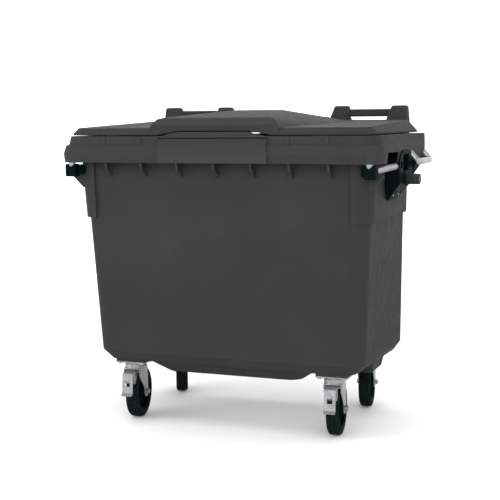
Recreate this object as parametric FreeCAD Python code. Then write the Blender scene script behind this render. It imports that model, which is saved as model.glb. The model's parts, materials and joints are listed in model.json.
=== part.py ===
import FreeCAD, Part
import math
import os

from FreeCAD import Vector

# Four-wheeled refuse container of about 660 litres.
# Millimetres, +Z up, X along the long side, -Y is the front, +Y the hinge side.
# The origin is on the floor, under the middle of the overall box.

# ---------------------------------------------------------------- driving dimensions
FRONT_Y = -408.0            # foremost face of the rim
REAR_Y = 408.0              # rearmost face of the hinge handles
PIN_TIP_X = 680.0           # half the width over the trunnion pins
TOTAL_HEIGHT = 1219.0       # top of the hinge handle posts

WALL = 6.0                  # moulded wall thickness of the tub
RIM_BOTTOM_Z = 1011.0
RIM_TOP_Z = 1109.0
RIM_HALF = 623.0            # half length of the rim
RIM_REAR_Y = 308.0
BAND_BOTTOM_Z = 800.0       # lower edge of the raised end bands
BAND_PROUD = 12.0
SHOULDER_Z = 281.0          # where the walls turn in towards the floor
BASE_Z = 245.0              # flat underside
PAD_Z = 235.0               # faces that the castors bolt to
BELLY_Z = 203.0             # lowest face of the tub

RIB_PITCH = 143.7           # comb ribs under the rim
RIB_COUNT = 7
RIB_THICK = 9.0

WHEEL_R = 100.0
TYRE_WIDTH = 50.0
CASTOR_X = 407.0
CASTOR_FRONT_Y = -228.0
CASTOR_REAR_Y = 218.0
CASTOR_TRAIL = 45.0         # the wheel axle lies this far behind the kingpin
PLATE_THICK = 5.0
SWIVEL = {"front_left": -8.0, "front_right": -6.0, "rear_left": -24.0, "rear_right": -8.0}

HINGE_Y = 390.0             # lid hinge axis
HINGE_Z = 1158.0
ROD_R = 8.0
RUN_FIT = 0.06              # radial clearance of a running fit
GAP = 0.5                   # clearance between parts that move past each other

PIN_Y = -50.0               # trunnion axis
PIN_Z = 946.0
PIN_R = 20.0
PIN_SHANK_R = 17.0          # the pins step down to this inside their brackets

POST_INNER = (232.0, 286.0)
POST_OUTER = (471.0, 531.0)

LID_HALF = 590.0
LID_FRONT_Y = -386.0
LID_REAR_Y = 318.0
LID_WALL = 5.0
LID_EDGE_Z = 1112.0         # underside of the lid's edge

X_AXIS = Vector(1, 0, 0)
Y_AXIS = Vector(0, 1, 0)
Z_AXIS = Vector(0, 0, 1)


# ---------------------------------------------------------------- drawing helpers
def rounded_wire(points, radii):
    """Closed flat wire through 3-D points, with each corner rounded."""
    count = len(points)
    edges = []
    starts = []
    for i in range(count):
        before = points[i - 1] - points[i]
        after = points[(i + 1) % count] - points[i]
        before.normalize()
        after.normalize()
        if radii[i] <= 0:
            starts.append((points[i], points[i], None))
            continue
        half = before.getAngle(after) / 2
        reach = radii[i] / math.tan(half)
        middle = before + after
        middle.normalize()
        centre = points[i] + middle * (radii[i] / math.sin(half))
        starts.append((points[i] + before * reach, points[i] + after * reach,
                       centre - middle * radii[i]))
    for i in range(count):
        first, last, mid = starts[i]
        if mid is not None:
            edges.append(Part.Arc(first, mid, last).toShape())
        following = starts[(i + 1) % count][0]
        if last.distanceToPoint(following) > 1e-6:
            edges.append(Part.LineSegment(last, following).toShape())
    return Part.Wire(edges)


def outline(z, front, rear, half_front, half_rear, r_front, r_rear):
    """Rounded, slightly tapered rectangle at height z."""
    points = [Vector(-half_front, front, z), Vector(half_front, front, z),
              Vector(half_rear, rear, z), Vector(-half_rear, rear, z)]
    return rounded_wire(points, [r_front, r_front, r_rear, r_rear])


def loft(sections):
    """Solid through a list of outline() argument rows, joined by straight lines."""
    return Part.makeLoft([outline(*row) for row in sections], True, True)


def inset(sections, amount):
    """The same rows, pulled in on every side."""
    rows = []
    for z, front, rear, half_front, half_rear, r_front, r_rear in sections:
        rows.append((z, front + amount, rear - amount, half_front - amount, half_rear - amount,
                     max(r_front - amount, 2.0), max(r_rear - amount, 2.0)))
    return rows


def box(x, y, z):
    """Box from three (low, high) pairs."""
    return Part.makeBox(x[1] - x[0], y[1] - y[0], z[1] - z[0], Vector(x[0], y[0], z[0]))


def rod(start, end, radius):
    axis = end - start
    return Part.makeCylinder(radius, axis.Length, start, axis)


def ring(start, end, outer, inner):
    return rod(start, end, outer).cut(rod(start, end, inner))


def prism(points, radii, direction):
    """Solid from a rounded polygon pushed along a vector."""
    return Part.Face(rounded_wire(points, radii)).extrude(direction)


def side_prism(pairs, radii, x):
    """Prism with its outline given as (y, z) pairs, between two x values."""
    points = [Vector(x[0], y, z) for y, z in pairs]
    return prism(points, radii, Vector(x[1] - x[0], 0, 0))


def front_prism(pairs, radii, y):
    """Prism with its outline given as (x, z) pairs, between two y values."""
    points = [Vector(px, y[0], z) for px, z in pairs]
    return prism(points, radii, Vector(0, y[1] - y[0], 0))


def fuse(shapes):
    return shapes[0].multiFuse(shapes[1:]).removeSplitter()


def mirrored(shape):
    return shape.mirror(Vector(0, 0, 0), X_AXIS)


def hexagon(centre, axis, across, height):
    """Hexagonal prism standing on centre."""
    radius = across / math.sqrt(3)
    points = [Vector(radius * math.cos(k * math.pi / 3), radius * math.sin(k * math.pi / 3), 0)
              for k in range(6)]
    head = prism(points, [0] * 6, Vector(0, 0, height))
    head.Placement = FreeCAD.Placement(centre, FreeCAD.Rotation(Z_AXIS, axis))
    return head


def bolt(head_seat, axis, length, radius):
    """Bolt whose head stands on head_seat along -axis and whose shank runs along axis."""
    shank = rod(head_seat, head_seat + axis * length, radius)
    head = hexagon(head_seat, axis * -1, radius * 3.0, radius * 1.2)
    return head.fuse(shank).removeSplitter()


def export(name, shapes):
    """Write one node; a group of pieces becomes one compound."""
    if not isinstance(shapes, list):
        shapes = [shapes]
    solids = []
    for shape in shapes:
        solids += shape.Solids
    whole = solids[0] if len(solids) == 1 else Part.makeCompound(solids)
    for solid in solids:
        if not solid.isValid() or solid.Volume <= 0:
            print("INVALID SOLID in", name)
    whole.exportStep("parts/" + name + ".step")
    print(name, len(solids), "solids", round(sum(s.Volume for s in solids) / 1000), "cm3")


# ---------------------------------------------------------------- tub
# Rows: z, front y, rear y, half length at the front, the same at the rear, corner radii.
WALL_ROWS = [
    (RIM_TOP_Z, -348.0, 272.0, 572.0, 552.0, 60.0, 25.0),
    (SHOULDER_Z, -300.0, 272.0, 528.0, 541.0, 60.0, 25.0),
    (BASE_Z, -278.0, 264.0, 490.0, 518.0, 44.0, 36.0),
]
BELLY_ROWS = [
    (BASE_Z + 20.0, -287.0, 264.0, 350.0, 350.0, 40.0, 40.0),
    (BASE_Z, -272.0, 252.0, 336.0, 336.0, 40.0, 40.0),
    (BELLY_Z, -236.0, 218.0, 276.0, 276.0, 56.0, 56.0),
]
END_BELLY_ROWS = [
    (BASE_Z + 20.0, -56.0, 141.0, 508.0, 508.0, 24.0, 24.0),
    (BASE_Z, -56.0, 141.0, 506.0, 506.0, 24.0, 24.0),
    (BELLY_Z + 4.0, -44.0, 129.0, 498.0, 498.0, 24.0, 24.0),
]
RIM_ROWS = [
    (RIM_BOTTOM_Z, -400.0, RIM_REAR_Y, 619.0, RIM_HALF, 56.0, 14.0),
    (1043.0, -404.0, RIM_REAR_Y, RIM_HALF, RIM_HALF, 58.0, 14.0),
    (1074.0, -399.0, RIM_REAR_Y, 616.0, RIM_HALF, 62.0, 14.0),
    (1078.0, -393.0, RIM_REAR_Y, 608.0, RIM_HALF, 70.0, 14.0),
    (RIM_TOP_Z, -391.0, RIM_REAR_Y, 602.0, 622.0, 76.0, 14.0),
]
RIM_CEILING_Z = RIM_TOP_Z - WALL
GUSSET_FRONT_Y = -320.0
GUSSET_REAR_Y = 258.0
GUSSET_HALF = 6.0           # half thickness of the webs at the ends
GUSSET_LOW_TOP_Z = 976.0
NUT_SEAT_R = 10.6           # spot face around each nut inside the tub
MIDDLE_HALF = 212.0         # half length of the forward middle panel of the rim
LIP_RISE = 15.0             # how far the rim stands up in the middle of the front


def wall_at(z, column):
    """Value of a WALL_ROWS column at height z, between rim top and shoulder."""
    top = WALL_ROWS[0]
    low = WALL_ROWS[1]
    share = (z - low[0]) / (top[0] - low[0])
    return low[column] + share * (top[column] - low[column])


def end_bands(outer):
    """Raised bands round both ends, under the rim."""
    rows = [
        (z, wall_at(z, 1) - BAND_PROUD, wall_at(z, 2) + BAND_PROUD, wall_at(z, 3) + BAND_PROUD,
         wall_at(z, 4) + BAND_PROUD, 70.0, 34.0)
        for z in (RIM_CEILING_Z, BAND_BOTTOM_Z)
    ]
    band = loft(rows)
    middle = box((-500, 500), (-500, 500), (BAND_BOTTOM_Z - 1, RIM_TOP_Z))
    return band.cut(middle).cut(outer)


def comb_ribs():
    """Upright ribs between the rim skirt and the front wall, tapering out below the rim."""
    ribs = []
    first = -RIB_PITCH * (RIB_COUNT - 1) / 2
    for k in range(RIB_COUNT):
        x = first + k * RIB_PITCH
        pairs = [(-396.0, RIM_CEILING_Z), (-396.0, RIM_BOTTOM_Z + 8), (-384.0, 985.0),
                 (wall_at(955.0, 1) + 2, 955.0), (wall_at(RIM_CEILING_Z, 1) + 2, RIM_CEILING_Z)]
        ribs.append(side_prism(pairs, [0] * 5, (x - RIB_THICK / 2, x + RIB_THICK / 2)))
    return ribs


def end_gussets():
    """Webs at each end: a low cradle under the front grip and a tall web under the rear corner."""
    low = [(540.0, GUSSET_LOW_TOP_Z), (612.0, GUSSET_LOW_TOP_Z), (612.0, 964.0), (562.0, 915.0),
           (540.0, 915.0)]
    tall = [(540.0, RIM_CEILING_Z), (615.0, RIM_CEILING_Z), (615.0, RIM_BOTTOM_Z - 22),
            (562.0, 915.0), (540.0, 915.0)]
    webs = []
    for pairs, y in ((low, GUSSET_FRONT_Y), (tall, GUSSET_REAR_Y)):
        web = front_prism(pairs, [0] * 5, (y - GUSSET_HALF, y + GUSSET_HALF))
        webs += [web, mirrored(web)]
    return webs


def middle_panel():
    """Forward panel in the middle of the rim, with the raised lip along its top."""
    half = MIDDLE_HALF
    pairs = [(-half, RIM_BOTTOM_Z + 1), (half, RIM_BOTTOM_Z + 1), (half - 4, RIM_TOP_Z - 2),
             (half - 78, RIM_TOP_Z + LIP_RISE), (-half + 78, RIM_TOP_Z + LIP_RISE),
             (-half + 4, RIM_TOP_Z - 2)]
    block = front_prism(pairs, [0, 0, 0, 40, 40, 0], (FRONT_Y, -385.0))
    lean = side_prism([(FRONT_Y - 5, 1062.0), (FRONT_Y, 1062.0), (-398.0, RIM_TOP_Z + LIP_RISE + 1),
                       (FRONT_Y - 5, RIM_TOP_Z + LIP_RISE + 1)], [0] * 4, (-half - 5, half + 5))
    hollow = box((-half + WALL, half - WALL), (FRONT_Y + WALL, -384.0),
                 (RIM_BOTTOM_Z - 1, RIM_CEILING_Z))
    return block.cut(lean).cut(hollow)


def castor_pads():
    pads = []
    for x in (-CASTOR_X, CASTOR_X):
        for y in (CASTOR_FRONT_Y, CASTOR_REAR_Y):
            corners = [Vector(x - 62, y - 46, PAD_Z), Vector(x + 62, y - 46, PAD_Z),
                       Vector(x + 62, y + 46, PAD_Z), Vector(x - 62, y + 46, PAD_Z)]
            pads.append(prism(corners, [14] * 4, Vector(0, 0, BASE_Z + 2 - PAD_Z)))
    return pads


DRAIN_X = 0.0
DRAIN_Y = 150.0
DRAIN_R = 26.0


def castor_centres():
    centres = {}
    for side, x in (("left", -CASTOR_X), ("right", CASTOR_X)):
        centres["front_" + side] = Vector(x, CASTOR_FRONT_Y, 0)
        centres["rear_" + side] = Vector(x, CASTOR_REAR_Y, 0)
    return centres


BOLT_DX = 47.5              # castor bolt pattern, half spacings
BOLT_DY = 32.5


def castor_bolt_points():
    points = []
    for centre in castor_centres().values():
        for dx in (-BOLT_DX, BOLT_DX):
            for dy in (-BOLT_DY, BOLT_DY):
                points.append(Vector(centre.x + dx, centre.y + dy, 0))
    return points


# ---------------------------------------------------------------- trunnions at the ends
BRACKET_OUT_X = 627.0       # outer face of the trunnion brackets
COLLAR_X = 631.0            # the pin's shoulder sits here
BRACKET_HALF = 100.0
BRACKET_TOP_Z = 1052.0
BRACKET_LOW_Z = 868.0
UPPER_BOLT = (68.0, 1000.0)     # distance from the pin axis along Y, and height
LOWER_BOLT = (40.0, 892.0)
NOTCH_FRONT_Y = -306.0      # the rim is cut away from here back to the bracket
UPPER_SEAT_X = 602.0
LOWER_SEAT_X = 584.0
SCREW_TIP_X = 558.0         # the bracket screws end inside the thick end wall


def bracket_block():
    """Arched block of the right-hand bracket, before it is fitted to the wall."""
    half = BRACKET_HALF
    pairs = [(PIN_Y - half + 28, BRACKET_LOW_Z), (PIN_Y + half - 28, BRACKET_LOW_Z),
             (PIN_Y + half, 930.0), (PIN_Y + half, BRACKET_TOP_Z),
             (PIN_Y - half, BRACKET_TOP_Z), (PIN_Y - half, 930.0)]
    block = side_prism(pairs, [44, 44, 40, 60, 60, 40], (530.0, BRACKET_OUT_X))
    under = front_prism([(574.0, BRACKET_LOW_Z - 2), (650.0, BRACKET_LOW_Z - 2), (650.0, 932.0),
                         (BRACKET_OUT_X + 1, 932.0)], [0] * 4, (PIN_Y - 200, PIN_Y + 200))
    return block.cut(under)


def bracket_bolts():
    """Head seats of the right-hand bracket's four bolts."""
    seats = []
    for reach, z in (UPPER_BOLT, LOWER_BOLT):
        x = UPPER_SEAT_X if z > PIN_Z else LOWER_SEAT_X
        for side in (-1, 1):
            seats.append(Vector(x, PIN_Y + side * reach, z))
    return seats


def make_bracket(wall):
    bracket = bracket_block().cut(wall)
    window = side_prism([(PIN_Y - 44, 975.0), (PIN_Y + 44, 975.0), (PIN_Y + 44, 1036.0),
                         (PIN_Y - 44, 1036.0)], [10] * 4, (592.0, BRACKET_OUT_X + 1))
    cuts = [window, rod(Vector(576, PIN_Y, PIN_Z), Vector(BRACKET_OUT_X + 1, PIN_Y, PIN_Z), PIN_SHANK_R)]
    for seat in bracket_bolts():
        cuts.append(rod(seat, Vector(BRACKET_OUT_X + 5, seat.y, seat.z), 13.0))
        cuts.append(rod(Vector(530, seat.y, seat.z), seat, 5.0))
    collar = ring(Vector(BRACKET_OUT_X, PIN_Y, PIN_Z), Vector(COLLAR_X, PIN_Y, PIN_Z),
                  PIN_R + 9, PIN_SHANK_R)
    bracket = bracket.cut(Part.makeCompound(cuts)).cut(front_grip_tube(GRIP_R))
    return bracket.fuse(collar).removeSplitter()


def make_trunnion_pin():
    shank = rod(Vector(576, PIN_Y, PIN_Z), Vector(COLLAR_X, PIN_Y, PIN_Z), PIN_SHANK_R)
    pin = rod(Vector(COLLAR_X, PIN_Y, PIN_Z), Vector(PIN_TIP_X, PIN_Y, PIN_Z), PIN_R).fuse(shank)
    tip = [e for e in pin.Edges if abs(e.CenterOfMass.x - PIN_TIP_X) < 0.01]
    return pin.makeChamfer(2.0, tip)


# ---------------------------------------------------------------- tube grips
GRIP_R = 12.5
GRIP_BORE = 10.0


def bent_tube(points, bend, radius):
    """Round bar along straight runs joined by tangent arcs."""
    edges = []
    start = points[0]
    for before, corner, after in zip(points, points[1:], points[2:]):
        back = before - corner
        on = after - corner
        back.normalize()
        on.normalize()
        half = back.getAngle(on) / 2
        reach = bend / math.tan(half)
        middle = back + on
        middle.normalize()
        first = corner + back * reach
        last = corner + on * reach
        mid = corner + middle * (bend / math.sin(half) - bend)
        edges.append(Part.LineSegment(start, first).toShape())
        edges.append(Part.Arc(first, mid, last).toShape())
        start = last
    edges.append(Part.LineSegment(start, points[-1]).toShape())
    path = Part.Wire(edges)
    direction = points[1] - points[0]
    profile = Part.Wire([Part.Circle(points[0], direction, radius).toShape()])
    pipe = path.makePipeShell([profile], True, True)
    return pipe


FRONT_GRIP = [Vector(576, -382, 1040), Vector(576, -382, 985), Vector(612, -138, 996)]
REAR_GRIP_FRONT_Y = 68.0
REAR_GRIP_REAR_Y = 286.0
REAR_GRIP = [Vector(606, REAR_GRIP_FRONT_Y, 1048), Vector(646, REAR_GRIP_FRONT_Y, 1004),
             Vector(646, REAR_GRIP_REAR_Y, 1004), Vector(606, REAR_GRIP_REAR_Y, 1048)]


def front_grip_tube(radius):
    return bent_tube(FRONT_GRIP, 24.0, radius)


def rear_grip_tube(radius):
    return bent_tube(REAR_GRIP, 22.0, radius)


def make_front_socket(wall):
    """Black cap on the front elbow, held by an arm between the wall and the front gusset."""
    cap = side_prism([(-392.0, 958.0), (-352.0, 958.0), (-352.0, 1006.0), (-392.0, 1006.0)],
                     [8] * 4, (560.0, 600.0))
    arm = box((540, 586), (-360, GUSSET_FRONT_Y - GUSSET_HALF), (966, 1000))
    return cap.fuse(arm).cut(wall).cut(front_grip_tube(GRIP_R)).removeSplitter()


def make_rear_socket(wall):
    block = front_prism([(540.0, 984.0), (640.0, 984.0), (640.0, 1010.0), (540.0, 1010.0)],
                        [0, 9, 9, 0], (PIN_Y + BRACKET_HALF + 1, REAR_GRIP_FRONT_Y + 18))
    return block.cut(wall).cut(rear_grip_tube(GRIP_R)).removeSplitter()


def make_tub():
    outer = loft(WALL_ROWS)
    belly = loft(BELLY_ROWS).fuse(loft(END_BELLY_ROWS))
    rim = loft(RIM_ROWS)
    hollow_rows = inset(RIM_ROWS, 5.0)
    rim_hollow = loft([(RIM_BOTTOM_Z - 1,) + hollow_rows[0][1:]] + hollow_rows[1:-1]
                      + [(RIM_CEILING_Z,) + hollow_rows[-1][1:]])
    inside_rows = inset(WALL_ROWS, WALL)
    floor_z = BASE_Z + WALL
    inside = loft([(RIM_TOP_Z + 1,) + inside_rows[0][1:], inside_rows[1],
                   (floor_z,) + inside_rows[2][1:]])
    belly_rows = inset(BELLY_ROWS, WALL)
    inside_belly = loft([belly_rows[0], belly_rows[1], (BELLY_Z + WALL,) + belly_rows[2][1:]])
    end_rows = inset(END_BELLY_ROWS, WALL)
    inside_ends = loft([end_rows[0], end_rows[1], (BELLY_Z + 4.0 + WALL,) + end_rows[2][1:]])
    bands = end_bands(outer)
    recesses = [box((560, 640), (-352, PIN_Y - BRACKET_HALF), (958, RIM_BOTTOM_Z))]
    recesses.append(mirrored(recesses[0]))
    bands = bands.cut(Part.makeCompound(recesses))
    extras = [rim.cut(rim_hollow), bands, middle_panel()] + comb_ribs() + end_gussets()
    tub = outer.fuse(belly).multiFuse(extras + castor_pads())
    tub = tub.cut(inside).cut(inside_belly).cut(inside_ends)
    wall = outer.fuse(bands)
    fitted = bracket_block().cut(wall)
    grips = [fitted, front_grip_tube(GRIP_R), rear_grip_tube(GRIP_R)]
    notch = box((592, 640), (NOTCH_FRONT_Y, PIN_Y - BRACKET_HALF + 1),
                (RIM_BOTTOM_Z - 2, BRACKET_TOP_Z - 4))
    grips.append(notch)
    cuts = grips + [mirrored(shape) for shape in grips]
    for seat in bracket_bolts():
        hole = rod(Vector(SCREW_TIP_X, seat.y, seat.z), Vector(600, seat.y, seat.z), 5.0)
        cuts += [hole, mirrored(hole)]
    for p in castor_bolt_points():
        cuts.append(rod(Vector(p.x, p.y, PAD_Z - 1), Vector(p.x, p.y, floor_z + 1), 5.5))
        cuts.append(rod(Vector(p.x, p.y, floor_z), Vector(p.x, p.y, floor_z + 9), NUT_SEAT_R))
    for x, z in handle_bolt_points():
        cuts.append(rod(Vector(x, 290, z), Vector(x, 310, z), 4.0))
    cuts.append(rod(Vector(DRAIN_X, DRAIN_Y, BELLY_Z - 1),
                    Vector(DRAIN_X, DRAIN_Y, BELLY_Z + WALL + 1), DRAIN_R))
    for cut in cuts:
        tub = tub.cut(cut)
    return tub.removeSplitter(), wall


# ---------------------------------------------------------------- hinge handles and lid hinge
FLANGE_THICK = 7.0
FLARE = 24.0                # how far each post spreads towards the middle, below its top
BAR_LOW_Z = 1174.0
BAR_TOP_Z = 1205.0


def handle_bolt_points():
    """(x, z) of the eight bolts that hold both hinge handles to the rim."""
    points = []
    for x in (306.0, 451.0):
        for z in (1046.0, 1088.0):
            points += [(x, z), (-x, z)]
    return points


def post_outline():
    return [(RIM_REAR_Y, 1030.0), (340.0, 1030.0), (366.0, 1062.0), (REAR_Y, 1150.0),
            (REAR_Y, TOTAL_HEIGHT), (366.0, TOTAL_HEIGHT), (358.0, 1150.0), (334.0, 1108.0),
            (RIM_REAR_Y, 1104.0)]


def make_hinge_handle():
    """Right-hand hinge handle: two posts, a grab bar and a bolted flange."""
    radii = [0, 18, 30, 40, 12, 12, 30, 14, 0]
    parts = []
    for low, high in (POST_INNER, POST_OUTER):
        side = side_prism(post_outline(), radii, (low - 30, high + 30))
        front = front_prism([(low - 8, 1025.0), (high + 8, 1025.0), (high + 8, 1130.0),
                             (high, TOTAL_HEIGHT), (low, TOTAL_HEIGHT), (low - FLARE, 1156.0),
                             (low - FLARE, 1134.0), (low - 8, 1116.0)],
                            [0, 0, 20, 7, 7, 12, 8, 8], (300.0, 420.0))
        parts.append(side.common(front))
    corners = [(369.0, BAR_LOW_Z), (403.0, BAR_LOW_Z), (403.0, BAR_TOP_Z), (369.0, BAR_TOP_Z)]
    bar = side_prism(corners, [8] * 4,
                     (POST_INNER[1] - 10, POST_OUTER[0] + 10))
    flange = box((POST_INNER[0] + 10, POST_OUTER[1] - 10),
                 (RIM_REAR_Y, RIM_REAR_Y + FLANGE_THICK), (1032, 1102))
    handle = fuse(parts + [bar, flange])
    cuts = [rod(Vector(0, HINGE_Y, HINGE_Z), Vector(POST_INNER[1] + 30, HINGE_Y, HINGE_Z), ROD_R)]
    for x, z in handle_bolt_points():
        if x > 0:
            cuts.append(rod(Vector(x, 300, z), Vector(x, 330, z), 4.0))
    return handle.cut(Part.makeCompound(cuts)).removeSplitter()


def make_hinge_rod():
    end = POST_INNER[1] + 9
    shank = rod(Vector(-end, HINGE_Y, HINGE_Z), Vector(end, HINGE_Y, HINGE_Z), ROD_R)
    caps = [rod(Vector(s * end, HINGE_Y, HINGE_Z), Vector(s * (end + 4), HINGE_Y, HINGE_Z), 11.0)
            for s in (-1, 1)]
    return fuse([shank] + caps)


# ---------------------------------------------------------------- lid
ARM_SPANS = [(40.0, 90.0), (148.0, 198.0)]
EYE_R = 18.0
LID_TOP_FRONT_Z = 1138.0
LID_TOP_REAR_Z = 1162.0
HUMP_ROWS = [
    # y, half width at the foot, half width of the top, height of the top
    (-385.0, 250.0, 243.0, 1150.0),
    (-368.0, 250.0, 228.0, 1170.0),
    (-350.0, 252.0, 212.0, 1175.0),
    (0.0, 340.0, 74.0, 1203.0),
    (225.0, 332.0, 56.0, 1204.0),
    (312.0, 300.0, 52.0, 1182.0),
]


def lid_top(y):
    """Height of the lid's flat top at y."""
    share = (y + 376.0) / (LID_REAR_Y + 376.0)
    return LID_TOP_FRONT_Z + share * (LID_TOP_REAR_Z - LID_TOP_FRONT_Z)


def lid_plate(amount):
    """Chamfered plate of the lid, pulled in by amount on the top and all sides."""
    rows = [(LID_EDGE_Z, LID_FRONT_Y, LID_REAR_Y, LID_HALF, LID_HALF, 62.0, 16.0),
            (1119.0, LID_FRONT_Y, LID_REAR_Y, LID_HALF, LID_HALF, 62.0, 16.0),
            (1172.0, LID_FRONT_Y + 30, LID_REAR_Y - 6, 542.0, 542.0, 50.0, 16.0)]
    rows = inset(rows, amount)
    if amount > 0:
        rows[0] = (LID_EDGE_Z - 1,) + rows[0][1:]
    plate = loft(rows)
    far = 500.0
    above = side_prism([(-far, lid_top(-far) - amount), (far, lid_top(far) - amount),
                        (far, 1300.0), (-far, 1300.0)], [0] * 4, (-700.0, 700.0))
    return plate.cut(above)


def lid_hump(amount):
    """Raised middle of the lid, pulled in by amount."""
    wires = []
    low = LID_EDGE_Z - (1 if amount > 0 else 0)
    for k, (y, foot, top, height) in enumerate(HUMP_ROWS):
        if k == 0:
            y += amount
        if k == len(HUMP_ROWS) - 1:
            y -= amount
        foot_z = lid_top(y) - amount
        foot -= amount
        top -= amount * 0.6
        height -= amount
        pairs = [(-foot, low), (foot, low), (foot, foot_z), (top, height), (-top, height),
                 (-foot, foot_z)]
        wires.append(rounded_wire([Vector(px, y, pz) for px, pz in pairs], [0] * 6))
    return Part.makeLoft(wires, True, True)


def lid_arm(low, high):
    """Hinge arm from the lid's rear edge to its eye on the rod."""
    pairs = [(LID_REAR_Y - 22, 1136.0), (HINGE_Y, HINGE_Z - EYE_R + 2),
             (HINGE_Y, HINGE_Z + EYE_R - 2), (LID_REAR_Y - 22, 1159.0)]
    arm = side_prism(pairs, [0] * 4, (low, high))
    eye = rod(Vector(low, HINGE_Y, HINGE_Z), Vector(high, HINGE_Y, HINGE_Z), EYE_R)
    return arm.fuse(eye)


def make_lid():
    arms = []
    for low, high in ARM_SPANS:
        arms += [lid_arm(low, high), lid_arm(-high, -low)]
    lid = lid_plate(0).multiFuse([lid_hump(0)] + arms)
    lid = lid.cut(lid_plate(LID_WALL)).cut(lid_hump(LID_WALL))
    half = MIDDLE_HALF
    lip = front_prism([(-half - 8, LID_EDGE_Z - 5), (half + 8, LID_EDGE_Z - 5),
                       (half + 8, LID_EDGE_Z), (half - 76, RIM_TOP_Z + LIP_RISE + 3),
                       (-half + 76, RIM_TOP_Z + LIP_RISE + 3), (-half - 8, LID_EDGE_Z)],
                      [0] * 6, (LID_FRONT_Y - 30, LID_FRONT_Y + 12))
    bore = rod(Vector(-230, HINGE_Y, HINGE_Z), Vector(230, HINGE_Y, HINGE_Z), ROD_R + RUN_FIT)
    return lid.cut(lip).cut(bore).removeSplitter()


def make_buffers():
    """Rubber pads on the rim that carry the lid's edge."""
    pads = []
    for x, y, length, depth in ((400.0, LID_FRONT_Y + 3, 44.0, 9.0), (400.0, LID_REAR_Y - 14, 44.0, 8.0),
                                (LID_HALF - 4, 60.0, 9.0, 44.0)):
        for side in (-1, 1):
            cx = side * x
            pads.append(box((cx - length / 2, cx + length / 2), (y - depth / 2, y + depth / 2),
                            (RIM_TOP_Z, LID_EDGE_Z - 0.2)))
    return pads


# ---------------------------------------------------------------- castors
# Each castor is drawn about its kingpin axis with the wheel trailing to +Y, then turned and moved.
AXLE_R = 6.0
AXLE_Z = WHEEL_R
RIM_R = 76.0                # joint between tyre and wheel disc
LEG_IN = 29.0
LEG_THICK = 4.0
CROWN_Z = 203.0
CROWN_THICK = 5.0
RACE_Z = 219.5              # underside of the upper race
BALL_R = 4.0
BALL_RING_R = 27.0
BALL_COUNT = 18
KINGPIN_R = 8.0
FORK_FRONT_Y = -38.0
PIVOT_Y = -26.0             # brake pedal pivot
PIVOT_Z = 193.0
PIVOT_R = 4.0
PIVOT_BOSS_R = 8.0
PRESS_ANGLE = 9.0           # travel of the brake pedal, in degrees
SHOE_INNER_R = WHEEL_R + 0.5
SHOE_OUTER_R = WHEEL_R + 6.0
PEDAL_HALF = 21.0
SHOE_HALF = 18.0


def place(shape, name):
    """Turn a castor piece to its swivel angle and move it under the tub."""
    moved = shape.copy()
    moved.rotate(Vector(0, 0, 0), Z_AXIS, -SWIVEL[name])
    moved.translate(castor_centres()[name])
    return moved


def make_plate():
    corners = [Vector(-62, -46, PAD_Z - PLATE_THICK), Vector(62, -46, PAD_Z - PLATE_THICK),
               Vector(62, 46, PAD_Z - PLATE_THICK), Vector(-62, 46, PAD_Z - PLATE_THICK)]
    plate = prism(corners, [10] * 4, Vector(0, 0, PLATE_THICK))
    race = rod(Vector(0, 0, RACE_Z), Vector(0, 0, PAD_Z - PLATE_THICK + 0.5), 33.0)
    cuts = [rod(Vector(0, 0, RACE_Z - 1), Vector(0, 0, PAD_Z + 1), KINGPIN_R)]
    for dx in (-BOLT_DX, BOLT_DX):
        for dy in (-BOLT_DY, BOLT_DY):
            cuts.append(rod(Vector(dx, dy, PAD_Z - 10), Vector(dx, dy, PAD_Z + 1), 5.0))
    return plate.fuse(race).cut(Part.makeCompound(cuts)).removeSplitter()


def make_kingpin():
    shank = rod(Vector(0, 0, CROWN_Z - 1), Vector(0, 0, PAD_Z), KINGPIN_R)
    head = rod(Vector(0, 0, CROWN_Z - 5.5), Vector(0, 0, CROWN_Z - GAP), 13.0)
    return shank.fuse(head).removeSplitter()


def make_balls():
    """Ball ring between the races."""
    balls = []
    z = RACE_Z - BALL_R - 0.2
    for k in range(BALL_COUNT):
        angle = 2 * math.pi * k / BALL_COUNT
        centre = Vector(BALL_RING_R * math.cos(angle), BALL_RING_R * math.sin(angle), z)
        balls.append(Part.makeSphere(BALL_R, centre))
    return balls


def make_fork():
    trail = CASTOR_TRAIL
    leg_pairs = [(FORK_FRONT_Y, CROWN_Z + CROWN_THICK), (58.0, CROWN_Z + CROWN_THICK),
                 (trail + 19, 110.0), (trail + 19, AXLE_Z - 20), (trail - 19, AXLE_Z - 20),
                 (trail - 19, 110.0), (FORK_FRONT_Y, 178.0)]
    radii = [0, 6, 10, 16, 16, 40, 8]
    legs = [side_prism(leg_pairs, radii, (s * LEG_IN, s * (LEG_IN + LEG_THICK))) for s in (-1, 1)]
    half = LEG_IN + LEG_THICK
    corners = [Vector(-half, FORK_FRONT_Y, CROWN_Z), Vector(half, FORK_FRONT_Y, CROWN_Z),
               Vector(half, 58, CROWN_Z), Vector(-half, 58, CROWN_Z)]
    crown = prism(corners, [0] * 4, Vector(0, 0, CROWN_THICK))
    top = CROWN_Z + CROWN_THICK
    shroud = ring(Vector(0, 0, top - 1), Vector(0, 0, RACE_Z + 4), 38.0, 35.0)
    race = ring(Vector(0, 0, top - 1), Vector(0, 0, top + 2.5), 32.0, 22.0)
    fork = fuse(legs + [crown, shroud, race])
    cuts = [rod(Vector(0, 0, CROWN_Z - 1), Vector(0, 0, top + 1), KINGPIN_R + RUN_FIT),
            rod(Vector(-60, trail, AXLE_Z), Vector(60, trail, AXLE_Z), AXLE_R)]
    return fork.cut(Part.makeCompound(cuts)).removeSplitter()


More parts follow.
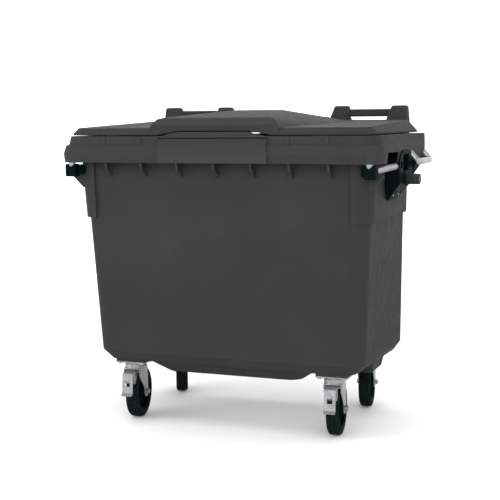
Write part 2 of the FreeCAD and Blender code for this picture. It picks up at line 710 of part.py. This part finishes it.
def revolve_about_axle(pairs):
    """Ring about the wheel axle from an outline of (distance along X, radius) pairs."""
    wire = Part.makePolygon([Vector(x, 0, r) for x, r in pairs + pairs[:1]])
    solid = Part.Face(wire).revolve(Vector(0, 0, 0), X_AXIS, 360)
    solid.translate(Vector(0, CASTOR_TRAIL, AXLE_Z))
    return solid


def make_tyre():
    half = TYRE_WIDTH / 2
    section = [Vector(-half + 3, 0, RIM_R), Vector(half - 3, 0, RIM_R), Vector(half, 0, RIM_R + 8),
               Vector(half - 3, 0, WHEEL_R), Vector(-half + 3, 0, WHEEL_R),
               Vector(-half, 0, RIM_R + 8)]
    wire = rounded_wire(section, [0, 0, 6, 10, 10, 6])
    tyre = Part.Face(wire).revolve(Vector(0, 0, 0), X_AXIS, 360)
    tyre.translate(Vector(0, CASTOR_TRAIL, AXLE_Z))
    return tyre


def make_disc():
    rim = revolve_about_axle([(-22, 68), (22, 68), (22, RIM_R), (-22, RIM_R)])
    web = revolve_about_axle([(-4, 20), (4, 20), (4, 70), (-4, 70)])
    hub = revolve_about_axle([(-27, 10), (27, 10), (27, 20), (22, 24), (-22, 24), (-27, 20)])
    ribs = []
    for k in range(8):
        rib = box((-14, 14), (-2.5, 2.5), (20, 70))
        rib.rotate(Vector(0, 0, 0), X_AXIS, 45 * k)
        rib.translate(Vector(0, CASTOR_TRAIL, AXLE_Z))
        ribs.append(rib)
    return fuse([rim, web, hub] + ribs)


def make_bearing():
    return revolve_about_axle([(-28, AXLE_R + RUN_FIT), (28, AXLE_R + RUN_FIT), (28, 10), (-28, 10)])


def make_axle():
    """Axle bolt and its nut."""
    outside = LEG_IN + LEG_THICK
    seat = Vector(-outside, CASTOR_TRAIL, AXLE_Z)
    screw = bolt(seat, X_AXIS, 2 * outside + 12, AXLE_R)
    nut = hexagon(Vector(outside, CASTOR_TRAIL, AXLE_Z), X_AXIS, 18.0, 9.0)
    return [screw, nut.cut(screw)]


def turned_back(shape):
    """Turn a brake piece from its pressed position back to its rest position."""
    moved = shape.copy()
    moved.rotate(Vector(0, PIVOT_Y, PIVOT_Z), X_AXIS, -PRESS_ANGLE)
    return moved


def make_pedal():
    """Released brake pedal: arm over the wheel, foot plate in front, lobe that backs the shoe."""
    side = [(PIVOT_Y, PIVOT_Z + PIVOT_BOSS_R), (-84.0, 200.0), (-92.0, 193.0), (-98.0, 124.0),
            (-110.0, 117.0), (-108.0, 113.0), (-93.0, 120.0), (-86.0, 186.0), (-80.0, 191.0),
            (-66.0, 189.0), (-62.0, 154.0), (-50.0, 148.0), (PIVOT_Y, PIVOT_Z - PIVOT_BOSS_R)]
    plate = side_prism(side, [0, 5, 4, 3, 0, 0, 4, 4, 4, 4, 2, 0, 0], (-PEDAL_HALF, PEDAL_HALF))
    boss = rod(Vector(-PEDAL_HALF, PIVOT_Y, PIVOT_Z), Vector(PEDAL_HALF, PIVOT_Y, PIVOT_Z), PIVOT_BOSS_R)
    window = box((-10, 10), (-105, -80), (148, 168))
    pin_hole = rod(Vector(-40, PIVOT_Y, PIVOT_Z), Vector(40, PIVOT_Y, PIVOT_Z), PIVOT_R + RUN_FIT)
    seat = turned_back(rod(Vector(-40, CASTOR_TRAIL, AXLE_Z), Vector(40, CASTOR_TRAIL, AXLE_Z),
                           SHOE_OUTER_R))
    return plate.fuse(boss).cut(window).cut(pin_hole).cut(seat).removeSplitter()


def make_shoe():
    """Curved pad on the pedal's lobe, concentric with the tyre when the pedal is pressed."""
    sleeve = ring(Vector(-SHOE_HALF, CASTOR_TRAIL, AXLE_Z), Vector(SHOE_HALF, CASTOR_TRAIL, AXLE_Z),
                  SHOE_OUTER_R, SHOE_INNER_R)
    return turned_back(sleeve.common(box((-20, 20), (-48, -31), (130, 190))))


def make_pivot():
    out = LEG_IN + LEG_THICK
    shank = rod(Vector(-out - 2, PIVOT_Y, PIVOT_Z), Vector(out + 2, PIVOT_Y, PIVOT_Z), PIVOT_R)
    heads = [rod(Vector(s * out, PIVOT_Y, PIVOT_Z), Vector(s * (out + 3), PIVOT_Y, PIVOT_Z), 7.0)
             for s in (-1, 1)]
    return fuse([shank] + heads)


def export_castors():
    plates, kingpins, balls, bolts, nuts = [], [], [], [], []
    pivot_hole = rod(Vector(-60, PIVOT_Y, PIVOT_Z), Vector(60, PIVOT_Y, PIVOT_Z), PIVOT_R)
    for name in castor_centres():
        plates.append(place(make_plate(), name))
        plates[-1].rotate(castor_centres()[name], Z_AXIS, SWIVEL[name])
        kingpins.append(place(make_kingpin(), name))
        balls += [place(ball, name) for ball in make_balls()]
        fork = make_fork()
        if name.startswith("front"):
            fork = fork.cut(pivot_hole)
            export("brake_pedal_" + name, place(make_pedal(), name))
            export("brake_shoe_" + name, place(make_shoe(), name))
            export("brake_pin_" + name, place(make_pivot(), name))
        export("castor_fork_" + name, place(fork, name))
        export("tyre_" + name, place(make_tyre(), name))
        export("wheel_disc_" + name, place(make_disc(), name))
        export("wheel_bearing_" + name, place(make_bearing(), name))
        export("axle_bolt_" + name, [place(piece, name) for piece in make_axle()])
    floor_z = BASE_Z + WALL
    for p in castor_bolt_points():
        screw = bolt(Vector(p.x, p.y, PAD_Z - PLATE_THICK), Z_AXIS, floor_z - PAD_Z + 20, 5.0)
        bolts.append(screw)
        nuts.append(hexagon(Vector(p.x, p.y, floor_z), Z_AXIS, 17.0, 8.0).cut(screw))
    export("castor_plates", plates)
    export("castor_kingpins", kingpins)
    export("swivel_balls", balls)
    export("castor_bolts", bolts)
    export("castor_nuts", nuts)


# ---------------------------------------------------------------- drain
def make_drain_plug():
    centre = Vector(DRAIN_X, DRAIN_Y, 0)
    flange = rod(centre + Z_AXIS * (BELLY_Z - 10), centre + Z_AXIS * (BELLY_Z - 3), 36.0)
    stem = rod(centre + Z_AXIS * (BELLY_Z - 4), centre + Z_AXIS * (BELLY_Z + 14), DRAIN_R - RUN_FIT)
    grip = box((DRAIN_X - 24, DRAIN_X + 24), (DRAIN_Y - 5, DRAIN_Y + 5), (BELLY_Z - 20, BELLY_Z - 9))
    return fuse([flange, stem, grip])


def make_drain_seal():
    centre = Vector(DRAIN_X, DRAIN_Y, 0)
    return ring(centre + Z_AXIS * (BELLY_Z - 2.8), centre + Z_AXIS * BELLY_Z, 34.0, DRAIN_R + 0.5)


def export_pair(name, shape):
    export(name + "_right", shape)
    export(name + "_left", mirrored(shape))


def main():
    os.makedirs("parts", exist_ok=True)
    tub, wall = make_tub()
    export("tub", tub)
    export("lid", make_lid())
    export("lid_buffers", make_buffers())
    export_pair("hinge_handle", make_hinge_handle())
    export("hinge_rod", make_hinge_rod())
    handle_bolts = [bolt(Vector(x, RIM_REAR_Y + FLANGE_THICK, z), Y_AXIS * -1, 22.0, 4.0)
                    for x, z in handle_bolt_points()]
    export("hinge_handle_bolts", handle_bolts)
    export_pair("trunnion_bracket", make_bracket(wall))
    export_pair("trunnion_pin", make_trunnion_pin())
    trunnion_bolts = []
    for seat in bracket_bolts():
        screw = bolt(seat, X_AXIS * -1, seat.x - SCREW_TIP_X, 5.0)
        trunnion_bolts += [screw, mirrored(screw)]
    export("trunnion_bolts", trunnion_bolts)
    export_pair("front_grip", front_grip_tube(GRIP_R).cut(front_grip_tube(GRIP_BORE)))
    export_pair("rear_grip", rear_grip_tube(GRIP_R).cut(rear_grip_tube(GRIP_BORE)))
    export_pair("front_grip_socket", make_front_socket(wall))
    export_pair("rear_grip_socket", make_rear_socket(wall))
    export_castors()
    export("drain_plug", make_drain_plug())
    export("drain_seal", make_drain_seal())


main()
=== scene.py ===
import json
import math

import bmesh
import bpy
from mathutils import Matrix, Vector


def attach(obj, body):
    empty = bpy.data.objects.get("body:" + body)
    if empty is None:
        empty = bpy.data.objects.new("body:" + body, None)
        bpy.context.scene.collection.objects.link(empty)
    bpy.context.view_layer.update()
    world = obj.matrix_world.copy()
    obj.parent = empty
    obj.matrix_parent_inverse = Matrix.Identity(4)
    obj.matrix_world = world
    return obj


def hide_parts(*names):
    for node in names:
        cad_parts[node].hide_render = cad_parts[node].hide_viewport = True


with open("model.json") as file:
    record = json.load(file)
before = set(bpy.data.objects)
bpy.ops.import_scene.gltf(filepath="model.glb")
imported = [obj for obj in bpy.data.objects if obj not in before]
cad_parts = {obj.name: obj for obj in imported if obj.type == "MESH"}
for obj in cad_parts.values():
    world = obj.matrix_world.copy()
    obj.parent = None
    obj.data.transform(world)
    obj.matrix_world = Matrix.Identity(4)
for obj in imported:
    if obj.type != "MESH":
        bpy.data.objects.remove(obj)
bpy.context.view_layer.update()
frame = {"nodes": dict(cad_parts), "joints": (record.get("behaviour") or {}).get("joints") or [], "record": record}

NODES = frame["nodes"]
JOINTS = {joint["name"]: joint for joint in frame["joints"]}
WHEELS = ("front_left", "front_right", "rear_left", "rear_right")
MM = 0.001

# sockets of the colour mix node, whose names repeat
MIX_FACTOR = 0
MIX_FIRST = 6
MIX_SECOND = 7
MIX_RESULT = 2
# range that most noise values lie in
NOISE_SPAN = (0.3, 0.7)


# ---------------------------------------------------------------- shader helpers
class Shader:
    """Small builder for one procedural material."""

    def __init__(self, name):
        self.material = bpy.data.materials.new(name)
        self.material.use_nodes = True
        self.tree = self.material.node_tree
        self.tree.nodes.clear()
        self.surface = self.add("ShaderNodeBsdfPrincipled")
        output = self.add("ShaderNodeOutputMaterial")
        self.link(self.surface.outputs["BSDF"], output.inputs["Surface"])
        self.place = self.add("ShaderNodeTexCoord").outputs["Object"]

    def add(self, kind):
        return self.tree.nodes.new(kind)

    def link(self, source, target):
        self.tree.links.new(source, target)

    def scaled(self, scale):
        """Object coordinates stretched by a factor for each axis."""
        mapping = self.add("ShaderNodeMapping")
        mapping.inputs["Scale"].default_value = scale
        self.link(self.place, mapping.inputs["Vector"])
        return mapping.outputs["Vector"]

    def noise(self, scale, detail=3.0, stretch=None):
        node = self.add("ShaderNodeTexNoise")
        node.inputs["Scale"].default_value = scale
        node.inputs["Detail"].default_value = detail
        self.link(self.scaled(stretch) if stretch else self.place, node.inputs["Vector"])
        return node.outputs["Fac"]

    def cells(self, scale):
        node = self.add("ShaderNodeTexVoronoi")
        node.inputs["Scale"].default_value = scale
        self.link(self.place, node.inputs["Vector"])
        return node.outputs["Color"]

    def spread(self, value, low, high, to_low, to_high):
        """Map a range of value onto another range."""
        node = self.add("ShaderNodeMapRange")
        for key, number in (("From Min", low), ("From Max", high), ("To Min", to_low),
                            ("To Max", to_high)):
            node.inputs[key].default_value = number
        self.link(value, node.inputs["Value"])
        return node.outputs["Result"]

    def blend(self, factor, first, second):
        """Colour mix; first and second are colours or sockets."""
        node = self.add("ShaderNodeMix")
        node.data_type = "RGBA"
        self.link(factor, node.inputs[MIX_FACTOR])
        for index, value in ((MIX_FIRST, first), (MIX_SECOND, second)):
            if isinstance(value, tuple):
                node.inputs[index].default_value = value + (1.0,)
            else:
                self.link(value, node.inputs[index])
        return node.outputs[MIX_RESULT]

    def bump(self, height, strength, distance):
        node = self.add("ShaderNodeBump")
        node.inputs["Strength"].default_value = strength
        node.inputs["Distance"].default_value = distance
        self.link(height, node.inputs["Height"])
        return node.outputs["Normal"]

    def edges(self, low, high):
        """1 on outward edges, 0 on flat and hollow parts."""
        geometry = self.add("ShaderNodeNewGeometry")
        return self.spread(geometry.outputs["Pointiness"], low, high, 0.0, 1.0)

    def set(self, name, value):
        self.surface.inputs[name].default_value = value

    def feed(self, name, socket):
        self.link(socket, self.surface.inputs[name])


def tinted(colour, factor):
    return tuple(channel * factor for channel in colour)


# ---------------------------------------------------------------- materials
RUBBED_METAL = (0.12, 0.12, 0.12)
DUST = (0.07, 0.072, 0.07)
# metres from the middle where the floor starts to brighten and where it is brightest
BRIGHT_FROM = 2.2
BRIGHT_FULL = 6.0
FLOOR_GLOW = 0.62


def moulded_plastic(name, colour, roughness, grain, shine):
    """Moulded polyethylene: fine grain, slow tone changes, faint scuffs and rubbed edges."""
    shader = Shader(name)
    cloud = shader.spread(shader.noise(scale=2.6, detail=2.0), *NOISE_SPAN, 0.0, 1.0)
    tone = shader.blend(cloud, tinted(colour, 0.93), tinted(colour, 1.07))
    scuff = shader.spread(shader.noise(scale=11.0, detail=8.0),
                          low=0.6, high=0.78, to_low=0.0, to_high=0.3)
    tone = shader.blend(scuff, tone, tinted(colour, 1.35))
    rubbed = shader.blend(shader.edges(low=0.52, high=0.62), tone, tinted(colour, 1.5))
    shader.feed("Base Color", rubbed)
    fine = shader.noise(scale=grain, detail=2.0)
    shader.feed("Roughness", shader.spread(shader.noise(scale=34.0, detail=6.0), *NOISE_SPAN,
                                           roughness - 0.05, roughness + 0.08))
    shader.feed("Normal", shader.bump(fine, strength=0.22, distance=0.12 * MM))
    shader.set("Specular IOR Level", shine)
    return shader.material


def galvanised(name, colour, roughness, spangle=95.0):
    """Hot-dip zinc: crystals of slightly different tone, dull patches, a pitted skin."""
    shader = Shader(name)
    crystal = shader.cells(spangle)
    grey = shader.add("ShaderNodeRGBToBW")
    shader.link(crystal, grey.inputs["Color"])
    value = grey.outputs["Val"]
    tone = shader.blend(value, tinted(colour, 0.7), tinted(colour, 1.15))
    dull = shader.spread(shader.noise(scale=22.0, detail=6.0),
                         low=0.52, high=0.68, to_low=0.0, to_high=0.5)
    shader.feed("Base Color", shader.blend(dull, tone, tinted(colour, 0.6)))
    shader.feed("Roughness", shader.spread(value, low=0.0, high=1.0,
                                           to_low=roughness - 0.08, to_high=roughness + 0.14))
    shader.feed("Normal", shader.bump(shader.noise(scale=620.0, detail=3.0),
                                      strength=0.22, distance=0.12 * MM))
    shader.set("Metallic", 1.0)
    return shader.material


def plated(name, colour, roughness=0.3):
    """Zinc plated or ground steel: turning marks of lighter and darker tone."""
    shader = Shader(name)
    mark = shader.noise(scale=260.0, detail=4.0, stretch=(1.0, 1.0, 5.0))
    shader.feed("Base Color", shader.blend(mark, tinted(colour, 0.72), tinted(colour, 1.08)))
    shader.feed("Roughness", shader.spread(mark, *NOISE_SPAN,
                                           roughness - 0.06, roughness + 0.12))
    shader.feed("Normal", shader.bump(mark, strength=0.12, distance=0.08 * MM))
    shader.set("Metallic", 1.0)
    return shader.material


def coated_steel(name, colour, roughness=0.42):
    """Dark coated steel, rubbed to metal on its edges."""
    shader = Shader(name)
    patch = shader.spread(shader.noise(scale=40.0, detail=8.0),
                          low=0.6, high=0.72, to_low=0.0, to_high=0.5)
    tone = shader.blend(patch, colour, tinted(colour, 2.0))
    shader.feed("Base Color", shader.blend(shader.edges(low=0.56, high=0.68), tone,
                                           RUBBED_METAL))
    shader.feed("Roughness", shader.spread(shader.noise(scale=90.0, detail=4.0), *NOISE_SPAN,
                                           roughness - 0.06, roughness + 0.1))
    shader.feed("Normal", shader.bump(shader.noise(scale=800.0, detail=2.0),
                                      strength=0.18, distance=0.1 * MM))
    shader.set("Specular IOR Level", 0.12)
    return shader.material


def rubber(name, colour, roughness=0.72, dust=0.12):
    """Moulded rubber with a fine matt skin and a little dust."""
    shader = Shader(name)
    powder = shader.spread(shader.noise(scale=60.0, detail=7.0),
                           low=0.5, high=0.75, to_low=0.0, to_high=dust)
    shader.feed("Base Color", shader.blend(powder, colour, DUST))
    shader.set("Specular IOR Level", 0.02)
    shader.feed("Roughness", shader.spread(shader.noise(scale=120.0, detail=4.0), *NOISE_SPAN,
                                           roughness - 0.07, roughness + 0.12))
    shader.feed("Normal", shader.bump(shader.noise(scale=1100.0, detail=3.0),
                                      strength=0.35, distance=0.2 * MM))
    return shader.material


def pale_floor(name, colour, roughness):
    """Matt floor that brightens with distance from the middle, so that the backdrop is white."""
    shader = Shader(name)
    flat = shader.scaled((1.0, 1.0, 0.0))
    reach = shader.add("ShaderNodeVectorMath")
    reach.operation = "LENGTH"
    shader.link(flat, reach.inputs[0])
    grain = shader.spread(shader.noise(scale=30.0, detail=3.0), *NOISE_SPAN,
                          roughness - 0.04, roughness + 0.04)
    shader.feed("Roughness", grain)
    shader.set("Base Color", colour + (1.0,))
    shader.set("Emission Color", (1.0, 1.0, 1.0, 1.0))
    shader.feed("Emission Strength", shader.spread(reach.outputs["Value"], BRIGHT_FROM,
                                                   BRIGHT_FULL, 0.0, FLOOR_GLOW))
    return shader.material


MATERIALS = {
    "body_plastic": moulded_plastic("body_plastic", (0.027, 0.027, 0.0275),
                                    roughness=0.6, grain=1400.0, shine=0.03),
    "lid_plastic": moulded_plastic("lid_plastic", (0.026, 0.026, 0.0265),
                                   roughness=0.62, grain=1400.0, shine=0.03),
    "black_plastic": moulded_plastic("black_plastic", (0.002, 0.0048, 0.0048),
                                     roughness=0.5, grain=1100.0, shine=0.01),
    "galvanised_steel": galvanised("galvanised_steel", (0.3, 0.31, 0.315), roughness=0.42),
    "zinc_fasteners": plated("zinc_fasteners", (0.36, 0.36, 0.345)),
    "bright_steel": plated("bright_steel", (0.45, 0.45, 0.46), roughness=0.24),
    "pin_steel": coated_steel("pin_steel", (0.006, 0.0105, 0.0105)),
    "tyre_rubber": rubber("tyre_rubber", (0.0045, 0.0085, 0.008)),
    "soft_rubber": rubber("soft_rubber", (0.01, 0.01, 0.01), roughness=0.8, dust=0.05),
}
SLOT_OF = {row["node"]: row["material_slot"] for row in frame["record"]["subparts"]}


# ---------------------------------------------------------------- CAD nodes that stay
SOFT_EDGE = {
    # node prefix: bevel width in mm
    "tub": 1.6,
    "lid": 1.6,
    "hinge_handle_left": 2.0,
    "hinge_handle_right": 2.0,
    "trunnion_bracket": 2.0,
    "trunnion_bolts": 0.7,
    "hinge_handle_bolts": 0.6,
    "front_grip_socket": 1.5,
    "rear_grip_socket": 1.5,
    "castor_fork": 1.1,
    "castor_plates": 0.9,
    "castor_bolts": 0.7,
    "castor_nuts": 0.7,
    "wheel_disc": 1.0,
    "axle_bolt": 0.7,
    "brake_pedal": 1.0,
    "brake_pin": 0.6,
    "drain_plug": 0.8,
}
SHARP = math.radians(32)
EDGE_SEGMENTS = 2
WELD_GAP = 0.01 * MM


def soften(node, width):
    """Weld the imported mesh and round its sharp edges with modifiers only."""
    weld = node.modifiers.new("weld", "WELD")
    weld.merge_threshold = WELD_GAP
    bevel = node.modifiers.new("soft_edge", "BEVEL")
    bevel.width = width * MM
    bevel.segments = EDGE_SEGMENTS
    bevel.limit_method = "ANGLE"
    bevel.angle_limit = SHARP
    bevel.use_clamp_overlap = False
    bevel.harden_normals = False
    normals = node.modifiers.new("even_shading", "WEIGHTED_NORMAL")
    normals.keep_sharp = True


def finish_cad_nodes():
    for name, node in NODES.items():
        material = MATERIALS[SLOT_OF[name]]
        if not node.material_slots:
            node.data.materials.append(material)
        for held in node.material_slots:
            held.material = material
        widths = [width for prefix, width in SOFT_EDGE.items() if name.startswith(prefix)]
        if widths and name != "lid_buffers":
            soften(node, widths[0])


# ---------------------------------------------------------------- pieces built here
def to_object(name, mesh, material):
    mesh.materials.append(material)
    piece = bpy.data.objects.new(name, mesh)
    bpy.context.scene.collection.objects.link(piece)
    return piece


def axle_frame(wheel):
    """Matrix with X along the wheel's axle and its origin at the wheel's centre."""
    joint = JOINTS["spin_" + wheel]
    along = Vector(joint["axis"]).normalized()
    up = Vector((0.0, 0.0, 1.0))
    forward = up.cross(along)
    turn = Matrix((along, forward, up)).transposed().to_4x4()
    return Matrix.Translation(Vector(joint["pos_m"])) @ turn


TYRE_STEPS = 96
TYRE_EDGE = 0.5 * MM


def spun(name, profile, steps, material, matrix):
    """Closed profile of (distance along the axle, radius) in mm, turned round the axle."""
    work = bmesh.new()
    rings = []
    for step in range(steps):
        angle = 2 * math.pi * step / steps
        rings.append([work.verts.new((x * MM, -r * MM * math.sin(angle), r * MM * math.cos(angle)))
                      for x, r in profile])
    count = len(profile)
    for step in range(steps):
        here = rings[step]
        there = rings[(step + 1) % steps]
        for k in range(count):
            after = (k + 1) % count
            work.faces.new((here[k], here[after], there[after], there[k]))
    bmesh.ops.recalc_face_normals(work, faces=work.faces)
    for face in work.faces:
        face.smooth = True
    work.transform(matrix)
    mesh = bpy.data.meshes.new(name)
    work.to_mesh(mesh)
    work.free()
    piece = to_object(name, mesh, material)
    edge = piece.modifiers.new("crisp", "BEVEL")
    edge.width = TYRE_EDGE
    edge.segments = EDGE_SEGMENTS
    edge.limit_method = "ANGLE"
    edge.angle_limit = SHARP
    return piece


# distance along the axle and radius, in mm
TYRE_PROFILE = [
    (-22.0, 76.0), (22.0, 76.0), (24.2, 80.0), (24.9, 84.0), (24.4, 88.5), (23.6, 88.9),
    (23.4, 90.4), (24.0, 91.2), (22.6, 95.0), (19.6, 98.0), (15.2, 99.6), (10.4, 99.95),
    (9.8, 98.0), (7.6, 98.0), (7.0, 99.95), (-7.0, 99.95), (-7.6, 98.0), (-9.8, 98.0),
    (-10.4, 99.95), (-15.2, 99.6), (-19.6, 98.0), (-22.6, 95.0), (-24.0, 91.2), (-23.4, 90.4),
    (-23.6, 88.9), (-24.4, 88.5), (-24.9, 84.0), (-24.2, 80.0),
]


def make_tyres():
    for wheel in WHEELS:
        tyre = spun("tyre_tread_" + wheel, TYRE_PROFILE, TYRE_STEPS, MATERIALS["tyre_rubber"],
                    axle_frame(wheel))
        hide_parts("tyre_" + wheel)
        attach(tyre, "wheel_" + wheel)


# ---------------------------------------------------------------- stage, light and camera
HUB_R = 0.02
FLOOR_R = 9.0
BOWL_R = 3.0
BOWL_STEPS = 14
BACKDROP_TOP = 9.0
STAGE_SIDES = 96


def make_stage():
    """Round pale floor that curves up into a backdrop, the same from every side."""
    work = bmesh.new()
    profile = [(HUB_R, 0.0), (FLOOR_R, 0.0)]
    for step in range(1, BOWL_STEPS + 1):
        angle = math.pi / 2 * step / BOWL_STEPS
        profile.append((FLOOR_R + BOWL_R * math.sin(angle), BOWL_R * (1 - math.cos(angle))))
    profile.append((FLOOR_R + BOWL_R, BACKDROP_TOP))
    rings = []
    for radius, height in profile:
        rings.append([work.verts.new((radius * math.cos(a), radius * math.sin(a), height))
                      for a in (2 * math.pi * k / STAGE_SIDES for k in range(STAGE_SIDES))])
    work.faces.new(rings[0])
    for low, high in zip(rings, rings[1:]):
        for k in range(STAGE_SIDES):
            after = (k + 1) % STAGE_SIDES
            work.faces.new((low[k], low[after], high[after], high[k]))
    bmesh.ops.recalc_face_normals(work, faces=work.faces)
    for face in work.faces:
        face.smooth = True
    mesh = bpy.data.meshes.new("floor")
    work.to_mesh(mesh)
    work.free()
    floor = to_object("floor", mesh, pale_floor("pale_floor", (0.86, 0.86, 0.86), 0.75))


SKY_STRENGTH = 0.55
MIDDLE = (0.0, 0.0, 0.7)
LID_HEIGHT = (0.0, 0.0, 1.1)
LIGHTS = [
    # name, place, target, size, watts
    ("overhead", (0.0, -0.4, 4.6), MIDDLE, (5.0, 5.0), 190.0),
    ("front_right", (2.2, -5.6, 2.8), MIDDLE, (3.0, 2.4), 110.0),
    ("front_left", (-4.6, -3.6, 2.4), MIDDLE, (2.4, 2.4), 90.0),
    ("behind", (-1.2, 5.4, 2.9), LID_HEIGHT, (4.0, 1.6), 25.0),
]


def area_light(name, place, target, size, watts):
    data = bpy.data.lights.new(name, "AREA")
    data.shape = "RECTANGLE"
    data.size = size[0]
    data.size_y = size[1]
    data.energy = watts
    light = bpy.data.objects.new(name, data)
    light.location = place
    aim = Vector(target) - Vector(place)
    light.rotation_mode = "QUATERNION"
    light.rotation_quaternion = aim.to_track_quat("-Z", "Y")
    bpy.context.scene.collection.objects.link(light)


def make_lights():
    world = bpy.data.worlds.new("studio")
    world.use_nodes = True
    sky = world.node_tree.nodes["Background"]
    sky.inputs["Color"].default_value = (1.0, 1.0, 1.0, 1.0)
    sky.inputs["Strength"].default_value = SKY_STRENGTH
    bpy.context.scene.world = world
    for row in LIGHTS:
        area_light(*row)
    bpy.context.scene.view_settings.view_transform = "Standard"


CAMERA_PLACE = (1.5582, -4.1219, 1.1696)
CAMERA_AZIMUTH = 20.79
CAMERA_PITCH = 6.65
CAMERA_ROLL = -0.455
CAMERA_LENS = 81.1
CAMERA_SENSOR = 36.0


def make_camera():
    """Camera to the front right, looking slightly down; angles in degrees, lens in mm."""
    azimuth = math.radians(CAMERA_AZIMUTH)
    pitch = math.radians(CAMERA_PITCH)
    roll = math.radians(CAMERA_ROLL)
    ahead = Vector((-math.sin(azimuth) * math.cos(pitch), math.cos(azimuth) * math.cos(pitch),
                    -math.sin(pitch)))
    right = Vector((math.cos(azimuth), math.sin(azimuth), 0.0))
    up = right.cross(ahead)
    rolled_right = right * math.cos(roll) + up * math.sin(roll)
    rolled_up = up * math.cos(roll) - right * math.sin(roll)
    data = bpy.data.cameras.new("camera")
    data.lens = CAMERA_LENS
    data.sensor_width = CAMERA_SENSOR
    camera = bpy.data.objects.new("camera", data)
    turn = Matrix((rolled_right, rolled_up, -ahead)).transposed().to_4x4()
    camera.matrix_world = Matrix.Translation(Vector(CAMERA_PLACE)) @ turn
    bpy.context.scene.collection.objects.link(camera)
    bpy.context.scene.camera = camera


make_camera()
make_stage()
make_lights()
finish_cad_nodes()
make_tyres()
